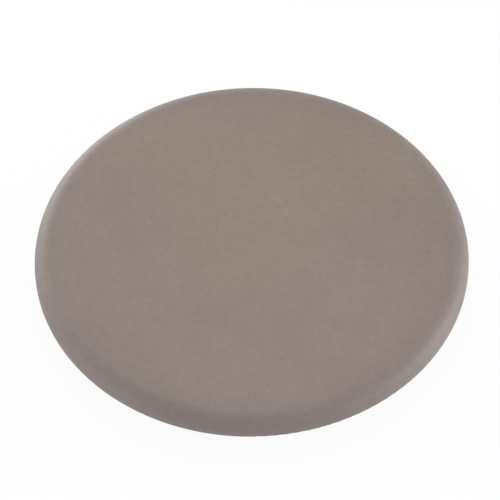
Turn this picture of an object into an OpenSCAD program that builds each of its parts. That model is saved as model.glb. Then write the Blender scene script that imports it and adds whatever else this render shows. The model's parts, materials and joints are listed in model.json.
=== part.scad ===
// Blank-topped round manhole cover for a 600 mm clear opening.
//
// A smooth deck moulding with a rounded rim sits on a flange plate, which bears on the chamber's
// seat. A rib grid is bonded under the plate, and its spigot drops into the opening. Steel bars in
// the grid's main ribs take the bending, foam pads back the deck, and screws from below clamp the
// three mouldings together.
// Z = 0 is the foot of the spigot, on the cover's axis, and +Z is up.

/* [Opening and seat] */
// Clear opening that the cover closes
opening_d = 600; // [560:5:800]
// Radial gap between the spigot and the opening
spigot_gap = 2.5; // [1:0.25:6]
// Depth of the spigot below the seat
spigot_h = 40; // [36:1:70]
// Wall of the spigot
spigot_t = 7; // [5:0.5:10]
// Lead-in chamfer at the spigot's foot
spigot_lead = 3; // [1:0.5:4]

/* [Deck] */
// How far the rim reaches past the opening
overhang = 40; // [38:1:60]
// Height of the deck's top above the seat
rim_h = 32; // [30:1:45]
// Radius of the rounded top edge
edge_r = 26; // [12:1:28]
// Radius of the lower arris of the rim
arris_r = 3; // [1:0.5:3.5]
// Thickness of the deck moulding
deck_t = 9; // [6:0.5:11]
// How far the rim's lower edge stays above the seat
rim_lift = 1; // [0.5:0.5:2]

/* [Flange plate] */
// Thickness of the flange plate
plate_t = 8; // [6.5:0.5:10]
// Thickness of the ring on the plate that carries the deck's edge
upstand_t = 8; // [5:0.5:12]

/* [Rib grid] */
// Thickness of the plain ribs
rib_t = 6; // [4:0.5:9]
// How far the ribs stop short of the spigot's foot
rib_recess = 4; // [3:0.5:8]
// Number of ring ribs between the hub and the spigot
ring_n = 3; // [3:1:4]
// Reach of the corner gussets where ribs meet
gusset = 5; // [3:0.5:8]
// Radius of the central hub
hub_r = 40; // [38:1:48]

/* [Stiffener bars] */
// Thickness of a bar
bar_t = 5; // [3:0.5:6]
// Height of a bar
bar_h = 28; // [24:1:30]
// Moulding left on each side of a bar
bar_wall = 4.5; // [3:0.5:6]
// Clearance of a bar at the sides of its slot
bar_clear = 0.25; // [0.1:0.05:0.5]
// Clearance at the ends of a bar, so that it can be swung in behind its ledge
bar_play = 0.75; // [0.5:0.25:1.5]
// Distance of the bars' inner ends from the axis
bar_start = 22; // [20:1:26]
// Height of the step under a bar's outer end
bar_step = 12; // [8:1:14]
// Length of the step under a bar's outer end
bar_tongue = 12; // [8:1:16]

/* [Hub plate] */
// Radius of the plate that clamps the bars' inner ends
hub_plate_r = 55; // [50:1:60]
// Thickness of the hub plate
hub_plate_t = 5; // [3:0.5:6]
// Radius of the central bolt
hub_bolt_r = 5; // [4:0.5:6]
// Width of the central bolt's hexagonal head, across its flats
hub_bolt_af = 16; // [14:0.5:18]
// Height of the central bolt's head
hub_bolt_head_h = 6.4; // [5:0.2:7]
// Thickness of the washer under the central bolt
hub_washer_t = 2; // [1:0.5:3]
// Length of the threaded insert in the hub
hub_insert_l = 18; // [12:1:20]

/* [Deck screws] */
// Radius of a screw's shank
screw_r = 4; // [3:0.5:5]
// Radius of a screw's head
screw_head_r = 6.5; // [5.5:0.5:7]
// Height of a screw's head
screw_head_h = 8; // [5:0.5:10]
// Width of the hexagonal socket in a screw's head, across its flats
screw_socket_af = 6; // [4:0.5:7]
// Thickness of the sealing washer under a screw's head
screw_washer_t = 1.6; // [1:0.2:2.4]
// Length of the threaded inserts in the deck
insert_l = 12; // [8:0.5:13]
// Wall of a threaded insert
insert_t = 2; // [1.5:0.25:2.5]
// Moulding round a threaded insert
boss_t = 5; // [3:0.5:6]
// Moulding round a screw's well in the grid
well_t = 4; // [3:0.5:5]
// Moulding that a screw's head clamps, at the top of its well
well_floor_t = 5; // [4:0.5:7]

/* [Seal and pads] */
// Width of the seal
seal_w = 13.5; // [10:0.5:15]
// Depth of the seal's groove in the flange
groove_depth = 4; // [3:0.5:5]
// Radius of the seal's hollow nose
seal_nose_r = 5.5; // [4.5:0.5:6]
// How far the seal's nose stands proud of the flange
seal_proud = 3.5; // [2.5:0.5:4.5]
// Wall of the seal below and above its hollow
seal_wall = 1.5; // [1:0.25:2]
// Flange between the spigot and the seal
seal_land = 6; // [5:0.5:7]
// Thickness of the tape between the deck and the ring on the flange plate
tape_t = 1.5; // [1:0.25:3]
// Distance of the foam pads' inner ends from the axis
pad_start = 20; // [10:1:40]
// Gap round each foam pad
pad_gap = 1; // [0.5:0.25:3]

/* [Hidden] */
$fn = 180;
// Sectors of the cover, each with one stiffener bar and one foam pad
sector_n = 6;
sector = 360 / sector_n;
// Overlap that lets a cut run past a face, or a rib root into a wall
bite = 1;
// Clearance of a shank in a plain hole
hole_clear = 0.5;
// Clearance of a shank in its insert, and of an insert in its moulding
thread_clear = 0.05;
// Clearance of the plate in the deck, and of the seal in its groove
nest_clear = 0.25;
// Room round a screw's head in its well
well_clear = 1;
// Room between the central bolt's head and the level of the spigot's foot
foot_room = 1;
// How far a washer reaches past the bolt head that it carries
washer_rim = 4;
// How far a screw's tip stays inside its insert
tip_room = 1;

// Levels, from the foot up
seat_z = spigot_h;
rim_z = seat_z + rim_lift;
plate_z = seat_z + plate_t;
top_z = seat_z + rim_h;
deck_z = top_z - deck_t;

// Deck: the rounded edge never runs past the lower arris, and its inside never turns sharp
cover_r = opening_d / 2 + overhang;
round_r = min(edge_r, rim_h - rim_lift - arris_r);
inner_r = cover_r - deck_t;
inner_round_r = max(round_r - deck_t, bite);

// Flange plate and rib grid
spigot_r = opening_d / 2 - spigot_gap;
spigot_inner_r = spigot_r - spigot_t;
flange_r = rim_inner_r(plate_z) - nest_clear;
upstand_r = inner_r - inner_round_r - nest_clear;
upstand_inner_r = upstand_r - upstand_t;
ring_pitch = (spigot_inner_r - hub_r) / (ring_n + 1);
main_rib_t = bar_t + 2 * (bar_clear + bar_wall);

// Bars and hub plate
bar_bottom_z = rib_recess;
bar_top_z = bar_bottom_z + bar_h;
bar_end = spigot_inner_r - bar_wall;
hub_face_z = foot_room + hub_bolt_head_h + hub_washer_t + hub_plate_t;
hub_plate_z = hub_face_z - hub_plate_t;
hub_pocket_r = hub_plate_r + bar_play;
bar_shoulder = bar_end - bar_tongue;
hub_hole_r = hub_bolt_r + hole_clear;
hub_washer_r = hub_bolt_af / 2 + washer_rim;
hub_insert_r = hub_bolt_r + thread_clear + insert_t;

// Screws
insert_r = screw_r + thread_clear + insert_t;
boss_r = insert_r + boss_t;
well_inner_r = screw_head_r + well_clear;
well_r = well_inner_r + well_t;
screw_washer_r = well_inner_r - nest_clear;
well_top_z = seat_z - well_floor_t;
screw_head_z = well_top_z - screw_washer_t - screw_head_h;
socket_depth = screw_head_h / 2;

// Seal and pads
groove_r = spigot_r + seal_land;
groove_w = seal_w + 2 * nest_clear;
pad_outer_r = upstand_inner_r - pad_gap;

// Inner radius of the deck's rim at a height z, where its inside turns over into the deck
function rim_inner_r(z) =
    inner_r - inner_round_r + sqrt(pow(inner_round_r, 2) - pow(max(z + inner_round_r - deck_z, 0), 2));

// Radius of the middle of ring rib i. Ring 0 is the hub, and the last one is the spigot's inner face.
function ring_r(i) = hub_r + i * ring_pitch;

// Radial ribs between ring i and the next: they double outwards, so that no cell gets wide
function rib_count(i) = sector_n * min(pow(2, i), 4);

// [radius, angle] of each deck screw: two to a sector on the outer ring rib, one on the first
screw_places = concat(
    [for (k = [0:2 * sector_n - 1]) [ring_r(ring_n), (k + 0.5) * sector / 2]],
    [for (k = [0:sector_n - 1]) [ring_r(1), (k + 0.5) * sector]]
);

module at_screws()
    for (p = screw_places) rotate(p[1]) translate([p[0], 0, 0]) children();

module tube(outer_r, wall, z0, z1)
    translate([0, 0, z0]) difference() {
        cylinder(r = outer_r, h = z1 - z0);
        translate([0, 0, -bite]) cylinder(r = outer_r - wall, h = z1 - z0 + 2 * bite);
    }

module rod(r, z0, z1, faces = 0)
    translate([0, 0, z0])
        if (faces) cylinder(r = r / cos(180 / faces), h = z1 - z0, $fn = faces);
        else cylinder(r = r, h = z1 - z0);

// Section of a disc from the axis to r, between two levels, with its top edge rounded
module rounded_section(r, z0, z1, round_to) {
    translate([0, z0]) square([r, z1 - round_to - z0]);
    translate([0, z0]) square([r - round_to, z1 - z0]);
    intersection() {
        translate([r - round_to, z1 - round_to]) circle(round_to);
        translate([0, z0]) square([r, z1 - z0]);
    }
}

// Deck: one moulding, with a boss over each screw

module rim_section() {
    intersection() {
        rounded_section(cover_r, rim_z, top_z, round_r);
        union() {
            translate([0, rim_z + arris_r]) square([cover_r, rim_h]);
            translate([0, rim_z]) square([cover_r - arris_r, rim_h]);
            translate([cover_r - arris_r, rim_z + arris_r]) circle(arris_r);
        }
    }
}

module deck_shell()
    color("#94877c") difference() {
        union() {
            rotate_extrude() difference() {
                rim_section();
                rounded_section(inner_r, rim_z - bite, deck_z, inner_round_r);
            }
            at_screws() rod(boss_r, plate_z, deck_z + bite);
        }
        at_screws() rod(insert_r + thread_clear, plate_z - bite, plate_z + insert_l);
    }

// Flange plate: grooved below for the seal, with a ring above that carries the deck's edge

module flange_plate()
    color("#4b4845") difference() {
        union() {
            rod(flange_r, seat_z, plate_z);
            tube(upstand_r, upstand_t, plate_z - bite, deck_z - tape_t);
        }
        tube(groove_r + groove_w, groove_w, seat_z - bite, seat_z + groove_depth);
        at_screws() rod(screw_r + hole_clear, seat_z - bite, plate_z + bite);
    }

// Rib grid: spigot, web of ribs, hub and screw wells

module spigot()
    rotate_extrude() polygon([
        [spigot_inner_r, 0],
        [spigot_r - spigot_lead, 0],
        [spigot_r, spigot_lead],
        [spigot_r, seat_z],
        [spigot_inner_r, seat_z]
    ]);

module ring_plan(r)
    difference() {
        circle(r + rib_t / 2);
        circle(r - rib_t / 2);
    }

// A straight rib from r0 to r1, with corner gussets where it starts and ends
module rib_plan(r0, r1, t)
    translate([0, -t / 2]) {
        translate([r0, 0]) square([r1 - r0, t]);
        for (r = [r0, r1]) translate([r, t / 2]) circle(t / 2 + gusset, $fn = 4);
    }

module web_plan() {
    circle(hub_r);
    for (i = [1:ring_n]) ring_plan(ring_r(i));
    for (i = [1:ring_n], k = [0:rib_count(i) - 1])
        rotate(k * 360 / rib_count(i))
            rib_plan(ring_r(i), ring_r(i + 1), k % (rib_count(i) / sector_n) == 0 ? main_rib_t : rib_t);
    for (k = [0:sector_n - 1]) rotate(k * sector) rib_plan(hub_r, ring_r(1), main_rib_t);
    at_screws() circle(well_r);
}

// Slot for a bar, open below up to the ledge that the bar's outer end rests on
module bar_slot()
    translate([0, bar_t / 2 + bar_clear, 0]) rotate([90, 0, 0])
        linear_extrude(bar_t + 2 * bar_clear) polygon([
            [bar_start - bar_play, -bite],
            [bar_shoulder + bar_play, -bite],
            [bar_shoulder + bar_play, bar_bottom_z + bar_step],
            [bar_end + bar_play, bar_bottom_z + bar_step],
            [bar_end + bar_play, bar_top_z],
            [bar_start - bar_play, bar_top_z]
        ]);

module rib_grid()
    color("#4b4845") difference() {
        union() {
            spigot();
            translate([0, 0, rib_recess]) linear_extrude(seat_z - rib_recess)
                intersection() {
                    web_plan();
                    circle(spigot_inner_r + bite);
                }
        }
        for (k = [0:sector_n - 1]) rotate(k * sector) bar_slot();
        rod(hub_pocket_r, -bite, hub_face_z);
        rod(hub_insert_r + thread_clear, -bite, hub_face_z + hub_insert_l);
        at_screws() {
            rod(well_inner_r, -bite, well_top_z);
            rod(screw_r + hole_clear, -bite, seat_z + bite);
        }
    }

// Bars and the plate that clamps their inner ends

module stiffener_bar(i)
    color("#9aa0a3") rotate((i - 1) * sector) translate([0, bar_t / 2, 0]) rotate([90, 0, 0])
        linear_extrude(bar_t) polygon([
            [bar_start, hub_face_z],
            [hub_pocket_r, hub_face_z],
            [hub_pocket_r, bar_bottom_z],
            [bar_shoulder, bar_bottom_z],
            [bar_shoulder, bar_bottom_z + bar_step],
            [bar_end, bar_bottom_z + bar_step],
            [bar_end, bar_top_z],
            [bar_start, bar_top_z]
        ]);

module hub_plate()
    color("#9aa0a3") tube(hub_plate_r, hub_plate_r - hub_hole_r, hub_plate_z, hub_face_z);

module hub_washer()
    color("#b9bcbe")
        tube(hub_washer_r, hub_washer_r - hub_hole_r, hub_plate_z - hub_washer_t, hub_plate_z);

module hub_bolt()
    color("#b9bcbe") {
        rod(hub_bolt_af / 2, foot_room, foot_room + hub_bolt_head_h, faces = 6);
        rod(hub_bolt_r, foot_room + hub_bolt_head_h - bite, hub_face_z + hub_insert_l - tip_room);
    }

module hub_insert()
    color("#c2a15a") tube(hub_insert_r, insert_t, hub_face_z, hub_face_z + hub_insert_l);

// Deck screws, their sealing washers and the inserts they turn into

module deck_inserts()
    color("#c2a15a") at_screws() tube(insert_r, insert_t, plate_z, plate_z + insert_l);

module deck_screws()
    color("#b9bcbe") at_screws() {
        difference() {
            rod(screw_head_r, screw_head_z, screw_head_z + screw_head_h);
            rod(screw_socket_af / 2, screw_head_z - bite, screw_head_z + socket_depth, faces = 6);
        }
        rod(screw_r, screw_head_z + screw_head_h - bite, plate_z + insert_l - tip_room);
    }

module screw_washers()
    color("#26272a") at_screws()
        tube(screw_washer_r, screw_washer_r - screw_r - thread_clear,
             well_top_z - screw_washer_t, well_top_z);

// Seal, tape and pads

module seal_section() {
    difference() {
        union() {
            translate([-seal_w / 2, 0]) square([seal_w, groove_depth]);
            intersection() {
                translate([0, seal_nose_r - seal_proud]) circle(seal_nose_r);
                translate([-seal_w / 2, -seal_proud]) square([seal_w, seal_proud + groove_depth]);
            }
        }
        translate([0, (groove_depth - seal_proud) / 2])
            circle((groove_depth + seal_proud) / 2 - seal_wall);
    }
}

module seal_ring()
    color("#1d1e20") rotate_extrude() translate([groove_r + groove_w / 2, seat_z]) seal_section();

module joint_tape()
    color("#2c2d30") tube(upstand_r, upstand_t, deck_z - tape_t, deck_z);

module core_pad(i)
    color("#d9d2bd") rotate((i - 1) * sector) difference() {
        rotate_extrude(angle = sector)
            translate([pad_start, plate_z]) square([pad_outer_r - pad_start, deck_z - plate_z]);
        for (a = [0, sector])
            rotate(a) translate([0, -pad_gap / 2, plate_z - bite])
                cube([cover_r, pad_gap, deck_z - plate_z + 2 * bite]);
        at_screws() rod(boss_r + pad_gap, plate_z - bite, deck_z + bite);
    }

deck_shell();
joint_tape();
flange_plate();
seal_ring();
rib_grid();
hub_plate();
hub_washer();
hub_bolt();
hub_insert();
deck_inserts();
deck_screws();
screw_washers();
for (i = [1:sector_n]) {
    core_pad(i);
    stiffener_bar(i);
}
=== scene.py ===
"""Looks of a blank-topped composite manhole cover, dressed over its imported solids."""
import json
import math

import bpy
from mathutils import Matrix, Vector


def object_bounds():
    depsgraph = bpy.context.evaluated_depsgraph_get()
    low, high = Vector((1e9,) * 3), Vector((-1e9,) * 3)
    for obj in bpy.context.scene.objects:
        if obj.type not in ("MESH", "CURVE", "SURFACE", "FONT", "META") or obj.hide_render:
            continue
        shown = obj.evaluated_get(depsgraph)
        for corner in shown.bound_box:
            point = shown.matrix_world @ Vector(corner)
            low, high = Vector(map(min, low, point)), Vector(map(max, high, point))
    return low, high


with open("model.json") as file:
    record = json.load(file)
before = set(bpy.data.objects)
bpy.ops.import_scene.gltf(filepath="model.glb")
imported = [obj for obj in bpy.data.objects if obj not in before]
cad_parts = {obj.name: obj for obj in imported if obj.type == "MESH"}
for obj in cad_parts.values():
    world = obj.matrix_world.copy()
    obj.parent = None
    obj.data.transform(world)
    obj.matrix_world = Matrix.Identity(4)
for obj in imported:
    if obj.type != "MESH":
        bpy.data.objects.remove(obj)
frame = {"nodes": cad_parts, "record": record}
cad_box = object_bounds()

lowest, highest = cad_box
cover_radius = (highest.x - lowest.x) / 2
axis_x = (highest.x + lowest.x) / 2
axis_y = (highest.y + lowest.y) / 2
foot_z = lowest.z
top_middle = Vector((axis_x, axis_y, highest.z))

# a millimetre in metres
MM = 0.001
# a wave texture repeats once in this much of its scaled length
WAVE = math.pi / 10
# a noise texture keeps nearly all its values between these two
NOISE_LOW, NOISE_HIGH = 0.3, 0.7


# ---- small helpers -------------------------------------------------------------------------


def colour(hex_code):
    """Linear RGBA of an sRGB hex colour."""
    parts = [int(hex_code[i:i + 2], 16) / 255 for i in (1, 3, 5)]
    linear = [p / 12.92 if p <= 0.04045 else ((p + 0.055) / 1.055) ** 2.4 for p in parts]
    return (*linear, 1.0)


def per_metre(length):
    """Texture scale that repeats once in a length given in millimetres."""
    return 1000 / length


def add(tree, kind, inputs=None, **settings):
    """Adds a node with its settings. Each input is a number or colour, another node's output, or a
    node, which stands for its first output in use."""
    made = tree.nodes.new(kind)
    for name, value in settings.items():
        setattr(made, name, value)
    for name, value in (inputs or {}).items():
        if isinstance(value, bpy.types.Node):
            value = next(output for output in value.outputs if output.enabled)
        if isinstance(value, bpy.types.NodeSocket):
            tree.links.new(value, made.inputs[name])
        else:
            made.inputs[name].default_value = value
    return made


def new_material(name):
    """A node material and its empty tree."""
    material = bpy.data.materials.new(name)
    material.use_nodes = True
    material.node_tree.nodes.clear()
    return material, material.node_tree


# ---- patterns ------------------------------------------------------------------------------
# place is the point on the object, in metres, at which a pattern is read


def clouds(tree, place, size, detail=2.0, which=0):
    """A value from 0 to 1 that drifts over patches of a size in millimetres. Each number given as
    which has patches of its own."""
    drift = add(tree, "ShaderNodeTexNoise", {
        "Vector": place, "W": which, "Scale": per_metre(size), "Detail": detail},
        noise_dimensions="4D")
    return add(tree, "ShaderNodeMapRange", {
        "Value": drift, "From Min": NOISE_LOW, "From Max": NOISE_HIGH})


def shaded(tree, base, value, amount):
    """A colour made darker and lighter by a share of itself, by a value from 0 to 1."""
    level = add(tree, "ShaderNodeMapRange", {
        "Value": value, "To Min": 1 - amount, "To Max": 1 + amount})
    return add(tree, "ShaderNodeMix", {"Factor": 1.0, "A": base, "B": level},
               data_type="RGBA", blend_type="MULTIPLY")


def specks(tree, place, apart, size, fewest, most):
    """A mask of ragged specks, so far apart and so big in millimetres, in the cells whose random
    tone lies between two shares."""
    cells = add(tree, "ShaderNodeTexVoronoi", {"Vector": place, "Scale": per_metre(apart)})
    rags = add(tree, "ShaderNodeMapRange", {
        "Value": clouds(tree, place, size / 2), "To Min": 0.7, "To Max": 1.5})
    ragged = add(tree, "ShaderNodeMath", {0: cells, 1: rags}, operation="MULTIPLY")
    # a speck fades out over the middle third of its size, measured in cells
    spot = add(tree, "ShaderNodeMapRange", {
        "Value": ragged, "From Min": 0.65 * size / apart, "From Max": 0.35 * size / apart})
    tone = add(tree, "ShaderNodeSeparateColor", {"Color": cells.outputs["Color"]})
    chosen = add(tree, "ShaderNodeMath", {
        0: tone.outputs["Red"], 1: (fewest + most) / 2, 2: (most - fewest) / 2},
        operation="COMPARE")
    return add(tree, "ShaderNodeMath", {0: spot, 1: chosen}, operation="MULTIPLY")


def strands(tree, place, angle, length, width):
    """A mask of sparse straight strands at an angle in degrees, with sizes in millimetres."""
    turned = add(tree, "ShaderNodeMapping", {
        "Vector": place, "Rotation": (0, 0, math.radians(angle)),
        "Scale": (per_metre(length), per_metre(width), per_metre(width))})
    field = add(tree, "ShaderNodeTexNoise", {"Vector": turned, "Scale": 1.0, "Detail": 1.0})
    # only the crests of the noise show, which are thin and far apart
    return add(tree, "ShaderNodeMapRange", {"Value": field, "From Min": 0.64, "From Max": 0.74})


# ---- materials -----------------------------------------------------------------------------


def sheet_moulding_compound():
    """Polyester and chopped glass, coloured taupe all through and pressed in a hot steel tool. The
    tool's eroded texture leaves a satin that spreads the light, and grazing light greys it. Filler
    clouds the colour a little and leaves pale and dark specks, and one lighter cloud is a painted soft
    highlight. The rounded edge is painted grey as a sheen, and made rougher."""
    material, tree = new_material("sheet_moulding_compound")
    place = add(tree, "ShaderNodeTexCoord").outputs["Object"]
    # the pigment drifts from mauve to olive over half the cover, and the charge clouds it as it
    #     flows, over about a hand's span; the lighter part of these clouds also paints a soft
    #     highlight just behind the middle of the top
    tint = add(tree, "ShaderNodeMix", {
        "Factor": clouds(tree, place, 350, detail=1.0, which=163), "A": colour("#998780"),
        "B": colour("#9a887d")}, data_type="RGBA")
    # these clouds also paint a soft highlight just behind the middle of the top
    flow_and_painted_highlight = clouds(tree, place, 200, detail=3.0, which=500)
    tint = shaded(tree, tint, flow_and_painted_highlight, 0.04)
    # a painted grey sheen begins some 30 mm before the top turns down, and takes over more than half
    # the
    #     colour at the rim, where the satin is also made duller
    painted_sheen_and_dulling_from, painted_sheen_and_dulling_at_rim = 0.84 * cover_radius, 0.6
    across = add(tree, "ShaderNodeVectorMath", {0: place, 1: (1, 1, 0)}, operation="MULTIPLY")
    out = add(tree, "ShaderNodeVectorMath", {0: across}, operation="LENGTH")
    painted_rim_sheen_and_dulling = add(tree, "ShaderNodeMapRange", {
        "Value": out, "From Min": painted_sheen_and_dulling_from, "From Max": cover_radius, "To Max": painted_sheen_and_dulling_at_rim})
    # painted sheen: the rim is mixed towards grey
    tint = add(tree, "ShaderNodeMix", {
        "Factor": painted_rim_sheen_and_dulling, "A": tint, "B": colour("#8c8684")}, data_type="RGBA")
    # filler grain of 0.6 mm, drawn at 3 mm so that it shows, in drifts of 10 mm and 45 mm
    for size, amount in ((3, 0.025), (10, 0.045), (45, 0.025)):
        tint = shaded(tree, tint, clouds(tree, place, size), amount)
    # clots of filler 4 mm across, a thumb's width apart, half of them pale and a quarter dark
    for clot, fewest, most in (("#9f9186", 0.5, 1.0), ("#8a7c73", 0.0, 0.25)):
        tint = add(tree, "ShaderNodeMix", {
            "Factor": specks(tree, place, apart=20, size=4.5, fewest=fewest, most=most),
            "A": tint, "B": colour(clot)}, data_type="RGBA")
    # the tool's spark-eroded texture of 0.3 mm, drawn at 1.6 mm, over the slow waves of a moulding
    waves = add(tree, "ShaderNodeBump", {
        "Height": clouds(tree, place, 90, detail=1.0), "Distance": 0.4 * MM, "Strength": 0.25})
    texture = add(tree, "ShaderNodeBump", {
        "Height": clouds(tree, place, 1.6, detail=3.0), "Distance": 0.06 * MM, "Strength": 0.6,
        "Normal": waves})
    satin = add(tree, "ShaderNodeMapRange", {"Value": flow_and_painted_highlight, "To Min": 0.55, "To Max": 0.50})
    rubbed = add(tree, "ShaderNodeMix", {"Factor": painted_rim_sheen_and_dulling, "A": satin, "B": 0.7})
    shader = add(tree, "ShaderNodeBsdfPrincipled", {
        "Base Color": tint, "Roughness": rubbed, "IOR": 1.54, "Normal": texture})
    add(tree, "ShaderNodeOutputMaterial", {"Surface": shader})
    return material


def charcoal_moulding_compound():
    """Polyester with more glass, charcoal, pressed for strength and not for looks. It is duller than
    the top, and the print of its chopped glass shows as faint paler straws."""
    material, tree = new_material("charcoal_moulding_compound")
    place = add(tree, "ShaderNodeTexCoord").outputs["Object"]
    tint = add(tree, "ShaderNodeMix", {
        "Factor": clouds(tree, place, 70, detail=3.0), "A": colour("#3f3c3a"), "B": colour("#4b4845")},
        data_type="RGBA")
    # chopped strands 25 mm long and 0.8 mm wide, drawn 1.8 mm wide so that they show
    long, wide = 25, 1.8
    glass = strands(tree, place, 15, long, wide)
    for angle in (75, 130):
        glass = add(tree, "ShaderNodeMath", {
            0: glass, 1: strands(tree, place, angle, long, wide)}, operation="MAXIMUM")
    faint = add(tree, "ShaderNodeMapRange", {"Value": glass, "To Max": 0.35})
    tint = add(tree, "ShaderNodeMix", {
        "Factor": faint, "A": tint, "B": colour("#7a7671")}, data_type="RGBA")
    # filler grain of 0.6 mm, drawn at 2.5 mm
    grain = clouds(tree, place, 2.5)
    tint = shaded(tree, tint, grain, 0.06)
    print_through = add(tree, "ShaderNodeBump", {
        "Height": glass, "Distance": 0.1 * MM, "Strength": 0.4})
    texture = add(tree, "ShaderNodeBump", {
        "Height": grain, "Distance": 0.08 * MM, "Strength": 0.5, "Normal": print_through})
    dull = add(tree, "ShaderNodeMapRange", {"Value": grain, "To Min": 0.45, "To Max": 0.6})
    shader = add(tree, "ShaderNodeBsdfPrincipled", {
        "Base Color": tint, "Roughness": dull, "IOR": 1.54, "Normal": texture})
    add(tree, "ShaderNodeOutputMaterial", {"Surface": shader})
    return material


def rolled_butyl_tape():
    """Black butyl, soft and tacky, rolled on by hand. It squeezes out with a slight shine and keeps
    the dents of the roller."""
    material, tree = new_material("rolled_butyl_tape")
    place = add(tree, "ShaderNodeTexCoord").outputs["Object"]
    dents = clouds(tree, place, 7)
    tint = add(tree, "ShaderNodeMix", {
        "Factor": dents, "A": colour("#222226"), "B": colour("#2c2c30")}, data_type="RGBA")
    shine = add(tree, "ShaderNodeMapRange", {"Value": dents, "To Min": 0.38, "To Max": 0.55})
    pressed = add(tree, "ShaderNodeBump", {"Height": dents, "Distance": 0.2 * MM, "Strength": 0.6})
    shader = add(tree, "ShaderNodeBsdfPrincipled", {
        "Base Color": tint, "Roughness": shine, "IOR": 1.51, "Normal": pressed})
    add(tree, "ShaderNodeOutputMaterial", {"Surface": shader})
    return material


def extruded_epdm():
    """Black EPDM, extruded, with fine die lines along its run and a pale bloom here and there."""
    material, tree = new_material("extruded_epdm")
    place = add(tree, "ShaderNodeTexCoord").outputs["Object"]
    bloom = clouds(tree, place, 45, detail=3.0)
    tint = add(tree, "ShaderNodeMix", {
        "Factor": bloom, "A": colour("#1c1d1f"), "B": colour("#2b2c2e")}, data_type="RGBA")
    # die lines of 0.2 mm, drawn at 1 mm so that they show
    lines = add(tree, "ShaderNodeTexWave", {
        "Vector": place, "Scale": per_metre(1.0) * WAVE, "Distortion": 0.4},
        wave_type="RINGS", rings_direction="Z")
    drawn = add(tree, "ShaderNodeBump", {
        "Height": lines.outputs["Fac"], "Distance": 0.05 * MM, "Strength": 0.6})
    dull = add(tree, "ShaderNodeMapRange", {"Value": bloom, "To Min": 0.48, "To Max": 0.66})
    shader = add(tree, "ShaderNodeBsdfPrincipled", {
        "Base Color": tint, "Roughness": dull, "IOR": 1.52, "Normal": drawn})
    add(tree, "ShaderNodeOutputMaterial", {"Surface": shader})
    return material


def bonded_rubber():
    """Black rubber crumb, bonded and punched into washers, so it is grainy and dull."""
    material, tree = new_material("bonded_rubber")
    place = add(tree, "ShaderNodeTexCoord").outputs["Object"]
    # crumb of 0.5 mm, drawn at 1.2 mm
    crumb = add(tree, "ShaderNodeTexVoronoi", {"Vector": place, "Scale": per_metre(1.2)})
    tone = add(tree, "ShaderNodeSeparateColor", {"Color": crumb.outputs["Color"]})
    tint = add(tree, "ShaderNodeMix", {
        "Factor": tone.outputs["Red"], "A": colour("#202124"), "B": colour("#2f3033")},
        data_type="RGBA")
    dull = add(tree, "ShaderNodeMapRange", {
        "Value": tone.outputs["Green"], "To Min": 0.55, "To Max": 0.75})
    grainy = add(tree, "ShaderNodeBump", {"Height": crumb, "Distance": 0.1 * MM, "Strength": 0.5})
    shader = add(tree, "ShaderNodeBsdfPrincipled", {
        "Base Color": tint, "Roughness": dull, "IOR": 1.52, "Normal": grainy})
    add(tree, "ShaderNodeOutputMaterial", {"Surface": shader})
    return material


def galvanised_steel():
    """Mild steel dipped in hot zinc. The zinc freezes in flat crystals, each with its own shade and
    gloss, between fine dull lines."""
    material, tree = new_material("galvanised_steel")
    place = add(tree, "ShaderNodeTexCoord").outputs["Object"]
    # crystals 9 mm across, and lines of 0.1 mm between them, drawn at 0.5 mm
    crystal, line = 9, 0.5
    spangle = add(tree, "ShaderNodeTexVoronoi", {"Vector": place, "Scale": per_metre(crystal)})
    tone = add(tree, "ShaderNodeSeparateColor", {"Color": spangle.outputs["Color"]})
    seams = add(tree, "ShaderNodeTexVoronoi", {"Vector": place, "Scale": per_metre(crystal)},
                feature="DISTANCE_TO_EDGE")
    seam = add(tree, "ShaderNodeMapRange", {
        "Value": seams, "From Min": line / crystal, "From Max": 0.0})
    tint = add(tree, "ShaderNodeMix", {
        "Factor": tone.outputs["Red"], "A": colour("#979da1"), "B": colour("#bcc1c4")},
        data_type="RGBA")
    # white rust comes in a few places
    rust = clouds(tree, place, 35, detail=4.0)
    for cover, most, shade in ((seam, 0.4, "#82878a"), (rust, 0.25, "#c9cccb")):
        share = add(tree, "ShaderNodeMapRange", {"Value": cover, "To Max": most})
        tint = add(tree, "ShaderNodeMix", {
            "Factor": share, "A": tint, "B": colour(shade)}, data_type="RGBA")
    gloss = add(tree, "ShaderNodeMapRange", {
        "Value": tone.outputs["Green"], "To Min": 0.30, "To Max": 0.52})
    raised = add(tree, "ShaderNodeBump", {"Height": seam, "Distance": 0.05 * MM, "Strength": 0.4})
    shader = add(tree, "ShaderNodeBsdfPrincipled", {
        "Base Color": tint, "Metallic": 1.0, "Roughness": gloss, "Normal": raised})
    add(tree, "ShaderNodeOutputMaterial", {"Surface": shader})
    return material


def forged_stainless_steel():
    """Stainless fasteners, cold-forged and pickled, so they are a soft grey with small dull
    patches."""
    material, tree = new_material("forged_stainless_steel")
    place = add(tree, "ShaderNodeTexCoord").outputs["Object"]
    patches = clouds(tree, place, 3, detail=3.0)
    tint = add(tree, "ShaderNodeMix", {
        "Factor": patches, "A": colour("#a9aaab"), "B": colour("#c6c7c8")}, data_type="RGBA")
    gloss = add(tree, "ShaderNodeMapRange", {"Value": patches, "To Min": 0.42, "To Max": 0.26})
    pickled = add(tree, "ShaderNodeBump", {
        "Height": patches, "Distance": 0.03 * MM, "Strength": 0.4})
    shader = add(tree, "ShaderNodeBsdfPrincipled", {
        "Base Color": tint, "Metallic": 1.0, "Roughness": gloss, "Normal": pickled})
    add(tree, "ShaderNodeOutputMaterial", {"Surface": shader})
    return material


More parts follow.
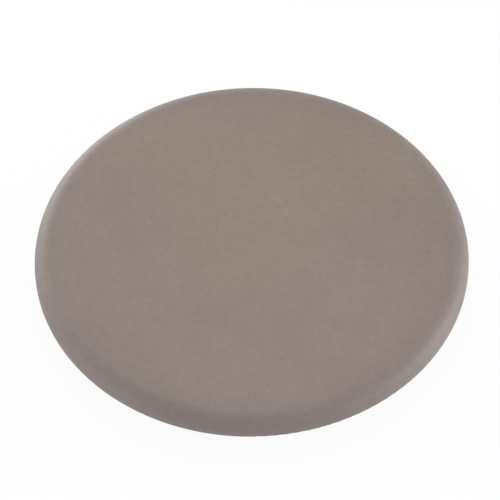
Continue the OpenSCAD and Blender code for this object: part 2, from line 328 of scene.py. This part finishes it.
def turned_brass():
    """Brass inserts turned from bar. Their faces keep fine tool rings and a light tarnish."""
    material, tree = new_material("turned_brass")
    place = add(tree, "ShaderNodeTexCoord").outputs["Object"]
    tarnish = clouds(tree, place, 4, detail=3.0)
    tint = add(tree, "ShaderNodeMix", {
        "Factor": tarnish, "A": colour("#a98843"), "B": colour("#cfae62")}, data_type="RGBA")
    # feed marks of 0.1 mm, drawn at 0.7 mm up the height
    rings = add(tree, "ShaderNodeTexWave", {"Vector": place, "Scale": per_metre(0.7) * WAVE},
                wave_type="BANDS", bands_direction="Z")
    turned = add(tree, "ShaderNodeBump", {
        "Height": rings.outputs["Fac"], "Distance": 0.02 * MM, "Strength": 0.5})
    gloss = add(tree, "ShaderNodeMapRange", {"Value": tarnish, "To Min": 0.40, "To Max": 0.24})
    shader = add(tree, "ShaderNodeBsdfPrincipled", {
        "Base Color": tint, "Metallic": 1.0, "Roughness": gloss, "Normal": turned})
    add(tree, "ShaderNodeOutputMaterial", {"Surface": shader})
    return material


def cut_polyethylene_foam():
    """Cream closed-cell foam, cut from board. The knife opens its cells, which leave a dry, pitted
    face."""
    material, tree = new_material("cut_polyethylene_foam")
    place = add(tree, "ShaderNodeTexCoord").outputs["Object"]
    # cells of 0.6 mm, drawn at 1.5 mm
    cells = add(tree, "ShaderNodeTexVoronoi", {"Vector": place, "Scale": per_metre(1.5)})
    tint = add(tree, "ShaderNodeMix", {
        "Factor": clouds(tree, place, 60), "A": colour("#d6cfbb"), "B": colour("#e0dac8")},
        data_type="RGBA")
    pitted = add(tree, "ShaderNodeBump", {"Height": cells, "Distance": 0.3 * MM, "Strength": 0.7})
    shader = add(tree, "ShaderNodeBsdfPrincipled", {
        "Base Color": shaded(tree, tint, cells.outputs["Distance"], 0.08), "Roughness": 0.9,
        "IOR": 1.5, "Normal": pitted})
    add(tree, "ShaderNodeOutputMaterial", {"Surface": shader})
    return material


# ---- dressing the solids -------------------------------------------------------------------

finishes = {
    "deck_moulding": sheet_moulding_compound(),
    "frame_moulding": charcoal_moulding_compound(),
    "butyl_tape": rolled_butyl_tape(),
    "seal_rubber": extruded_epdm(),
    "washer_rubber": bonded_rubber(),
    "galvanised_steel": galvanised_steel(),
    "stainless_steel": forged_stainless_steel(),
    "brass": turned_brass(),
    "foam": cut_polyethylene_foam(),
}
# how far the sharp edges of each finish are rounded off, in millimetres
soft_edges = {"frame_moulding": 0.6, "galvanised_steel": 0.5, "stainless_steel": 0.25}


def soften_edges(solid, radius):
    """Rounds a solid's sharp edges off, as a moulding tool, a shear or a dip in zinc leaves them."""
    # the mesh of a solid comes apart at its edges, so its corners are joined first
    weld = solid.modifiers.new("weld", "WELD")
    weld.merge_threshold = 0.001 * MM
    bevel = solid.modifiers.new("soft_edges", "BEVEL")
    bevel.width = radius * MM
    bevel.segments = 2
    bevel.limit_method = "ANGLE"
    bevel.angle_limit = math.radians(40)
    bevel.harden_normals = True


slot_of = {entry["node"]: entry["material_slot"] for entry in frame["record"]["subparts"]}
for node_name, solid in frame["nodes"].items():
    slot = slot_of[node_name]
    solid.data.materials.clear()
    solid.data.materials.append(finishes[slot])
    if slot in soft_edges:
        soften_edges(solid, soft_edges[slot])


# ---- floor, light and camera ---------------------------------------------------------------

# how bright the floor and the world look, and how much light each gives to the cover
FLOOR_SEEN, FLOOR_LIGHT = 0.94, 0.684
WORLD_SEEN, WORLD_LIGHT = 1.0, 0.402


def looked_at(tree):
    """1 for a ray that the camera, a mirror or glass sends, and 0 for one that only carries light."""
    ray = add(tree, "ShaderNodeLightPath")
    direct = add(tree, "ShaderNodeMath", {
        0: ray.outputs["Is Camera Ray"], 1: ray.outputs["Is Glossy Ray"]}, operation="MAXIMUM")
    return add(tree, "ShaderNodeMath", {
        0: direct, 1: ray.outputs["Is Transmission Ray"]}, operation="MAXIMUM")


def studio_floor():
    """A plain pale floor that looks white, keeps a faint shadow of the cover and, as light, gives
    back an even grey. It can't be seen from below, so that the underside can."""
    material, tree = new_material("pale_studio_floor")
    # the dark diffuse share is what lets the shadow show on the glowing white
    shadowed = add(tree, "ShaderNodeBsdfDiffuse", {"Color": colour("#505050")})
    glow = add(tree, "ShaderNodeEmission", {"Color": colour("#ffffff"), "Strength": FLOOR_SEEN})
    white = add(tree, "ShaderNodeAddShader", {0: shadowed, 1: glow})
    bounce = add(tree, "ShaderNodeEmission", {
        "Color": colour("#ffffff"), "Strength": FLOOR_LIGHT})
    above = add(tree, "ShaderNodeMixShader", {"Fac": looked_at(tree), 1: bounce, 2: white})
    below = add(tree, "ShaderNodeBsdfTransparent")
    face = add(tree, "ShaderNodeNewGeometry")
    sides = add(tree, "ShaderNodeMixShader", {
        "Fac": face.outputs["Backfacing"], 1: above, 2: below})
    add(tree, "ShaderNodeOutputMaterial", {"Surface": sides})

    reach = 40 * cover_radius
    corners = [(axis_x + i * reach, axis_y + j * reach, foot_z)
               for i, j in ((-1, -1), (1, -1), (1, 1), (-1, 1))]
    mesh = bpy.data.meshes.new("studio_floor")
    mesh.from_pydata(corners, [], [(0, 1, 2, 3)])
    floor = bpy.data.objects.new("studio_floor", mesh)
    floor.data.materials.append(material)
    bpy.context.scene.collection.objects.link(floor)


def studio_world():
    """White where it is looked at or mirrored, and a plain grey as light."""
    world = bpy.data.worlds.new("studio_world")
    world.use_nodes = True
    tree = world.node_tree
    tree.nodes.clear()
    strength = add(tree, "ShaderNodeMapRange", {
        "Value": looked_at(tree), "To Min": WORLD_LIGHT, "To Max": WORLD_SEEN})
    glow = add(tree, "ShaderNodeBackground", {"Color": colour("#ffffff"), "Strength": strength})
    add(tree, "ShaderNodeOutputWorld", {"Surface": glow})
    bpy.context.scene.world = world


def softbox(name, azimuth, elevation, distance, width, height, power):
    """A rectangular lamp that faces the cover, with azimuth measured anticlockwise from +X."""
    a, e = math.radians(azimuth), math.radians(elevation)
    away = Vector((math.cos(a) * math.cos(e), math.sin(a) * math.cos(e), math.sin(e)))
    lamp = bpy.data.lights.new(name, "AREA")
    lamp.shape = "RECTANGLE"
    lamp.size = width
    lamp.size_y = height
    lamp.energy = power
    box = bpy.data.objects.new(name, lamp)
    box.location = top_middle + distance * away
    box.rotation_euler = away.to_track_quat("Z", "Y").to_euler()
    bpy.context.scene.collection.objects.link(box)


def camera():
    """Looks down at the cover from in front, with a short tele lens and a slight roll."""
    elevation = math.radians(51.77)
    distance = 8 * cover_radius
    roll = math.radians(-0.96)
    # the point on the top that the camera looks at, a little in front of the middle
    aim = top_middle + cover_radius * Vector((-0.0068, -0.0548, 0))
    stand = top_middle + distance * Vector((0, -math.cos(elevation), math.sin(elevation)))
    lens = bpy.data.cameras.new("camera")
    # both in millimetres
    lens.sensor_width = 36
    lens.lens = 125.6
    eye = bpy.data.objects.new("camera", lens)
    turn = (stand - aim).to_track_quat("Z", "Y").to_matrix().to_4x4()
    eye.matrix_world = Matrix.Translation(stand) @ turn @ Matrix.Rotation(roll, 4, "Z")
    bpy.context.scene.collection.objects.link(eye)
    bpy.context.scene.camera = eye


# azimuth and elevation in degrees, then distance, width and height in metres, then watts
lamps = (
    ("overhead_softbox", 90, 89, 0.9, 0.4, 0.4, 1.25),
    ("back_softbox", 75, 60, 1.4, 0.6, 0.6, 0.5),
    ("back_left_softbox", 135, 25, 2.4, 1.2, 0.8, 11.7),
    ("back_left_low_strip", 125, 3, 1.6, 0.9, 0.15, 6.5),
    ("left_low_strip", 145, 5, 1.8, 0.7, 0.25, 1.2),
    ("front_left_low_strip", 215, 5, 1.8, 0.6, 0.15, 4.9),
    ("front_right_strip", 340, 12, 2.4, 0.8, 0.5, 8.4),
    ("right_strip", 0, 10, 2.4, 1.2, 0.5, 18.3),
)

camera()
studio_floor()
studio_world()
for lamp in lamps:
    softbox(*lamp)
bpy.context.scene.view_settings.view_transform = "Standard"
